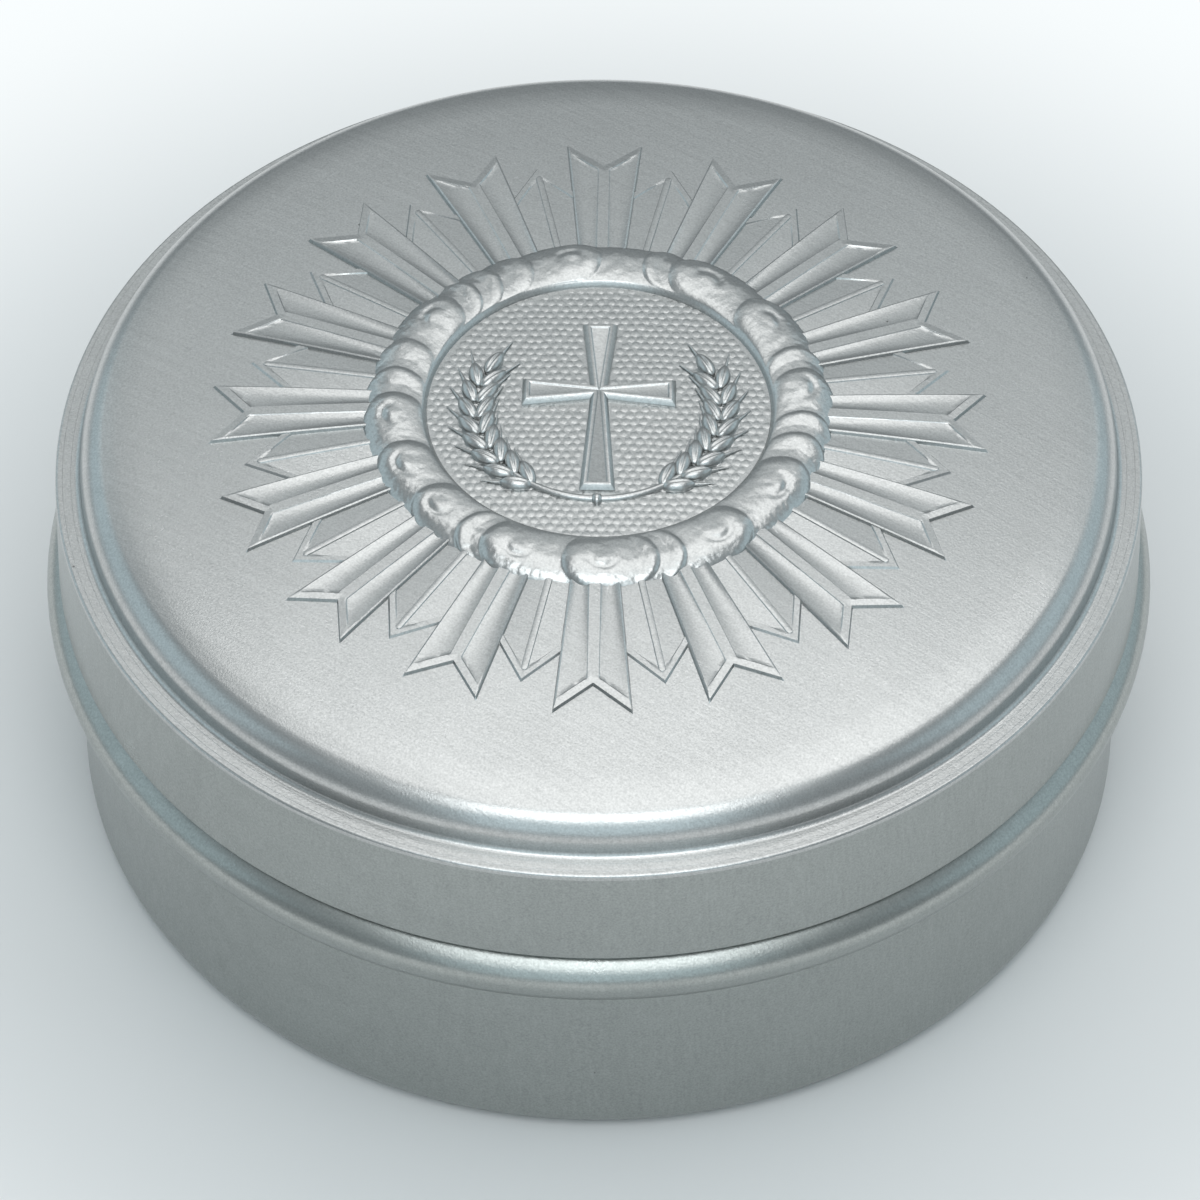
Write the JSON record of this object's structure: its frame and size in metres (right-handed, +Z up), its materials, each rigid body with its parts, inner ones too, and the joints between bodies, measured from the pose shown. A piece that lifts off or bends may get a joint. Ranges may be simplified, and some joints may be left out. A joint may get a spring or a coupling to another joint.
{
  "type": "pyx",
  "caption": "Round satin aluminium pyx with a slip-on domed lid, struck with a sunburst round a cloud ring and a plain cross, on a beaded straight-walled base.",
  "frame": {"origin": "on the axis of the box, at the height of the table it stands on", "axes": "+Z up along the axis, -Y towards the foot of the cross on the lid, +X to its right"},
  "size_m": [0.082, 0.082, 0.0362],
  "materials": {
    "satin_aluminium": "satin"
  },
  "bodies": {
    "base": {"base": "satin_aluminium"},
    "lid": {"lid": "satin_aluminium"}
  },
  "joints": [
    {"name": "lid_lift", "type": "slide", "parent": "base", "child": "lid", "axis": [0, 0, 1], "range_m": [0, 0.05]}
  ]
}
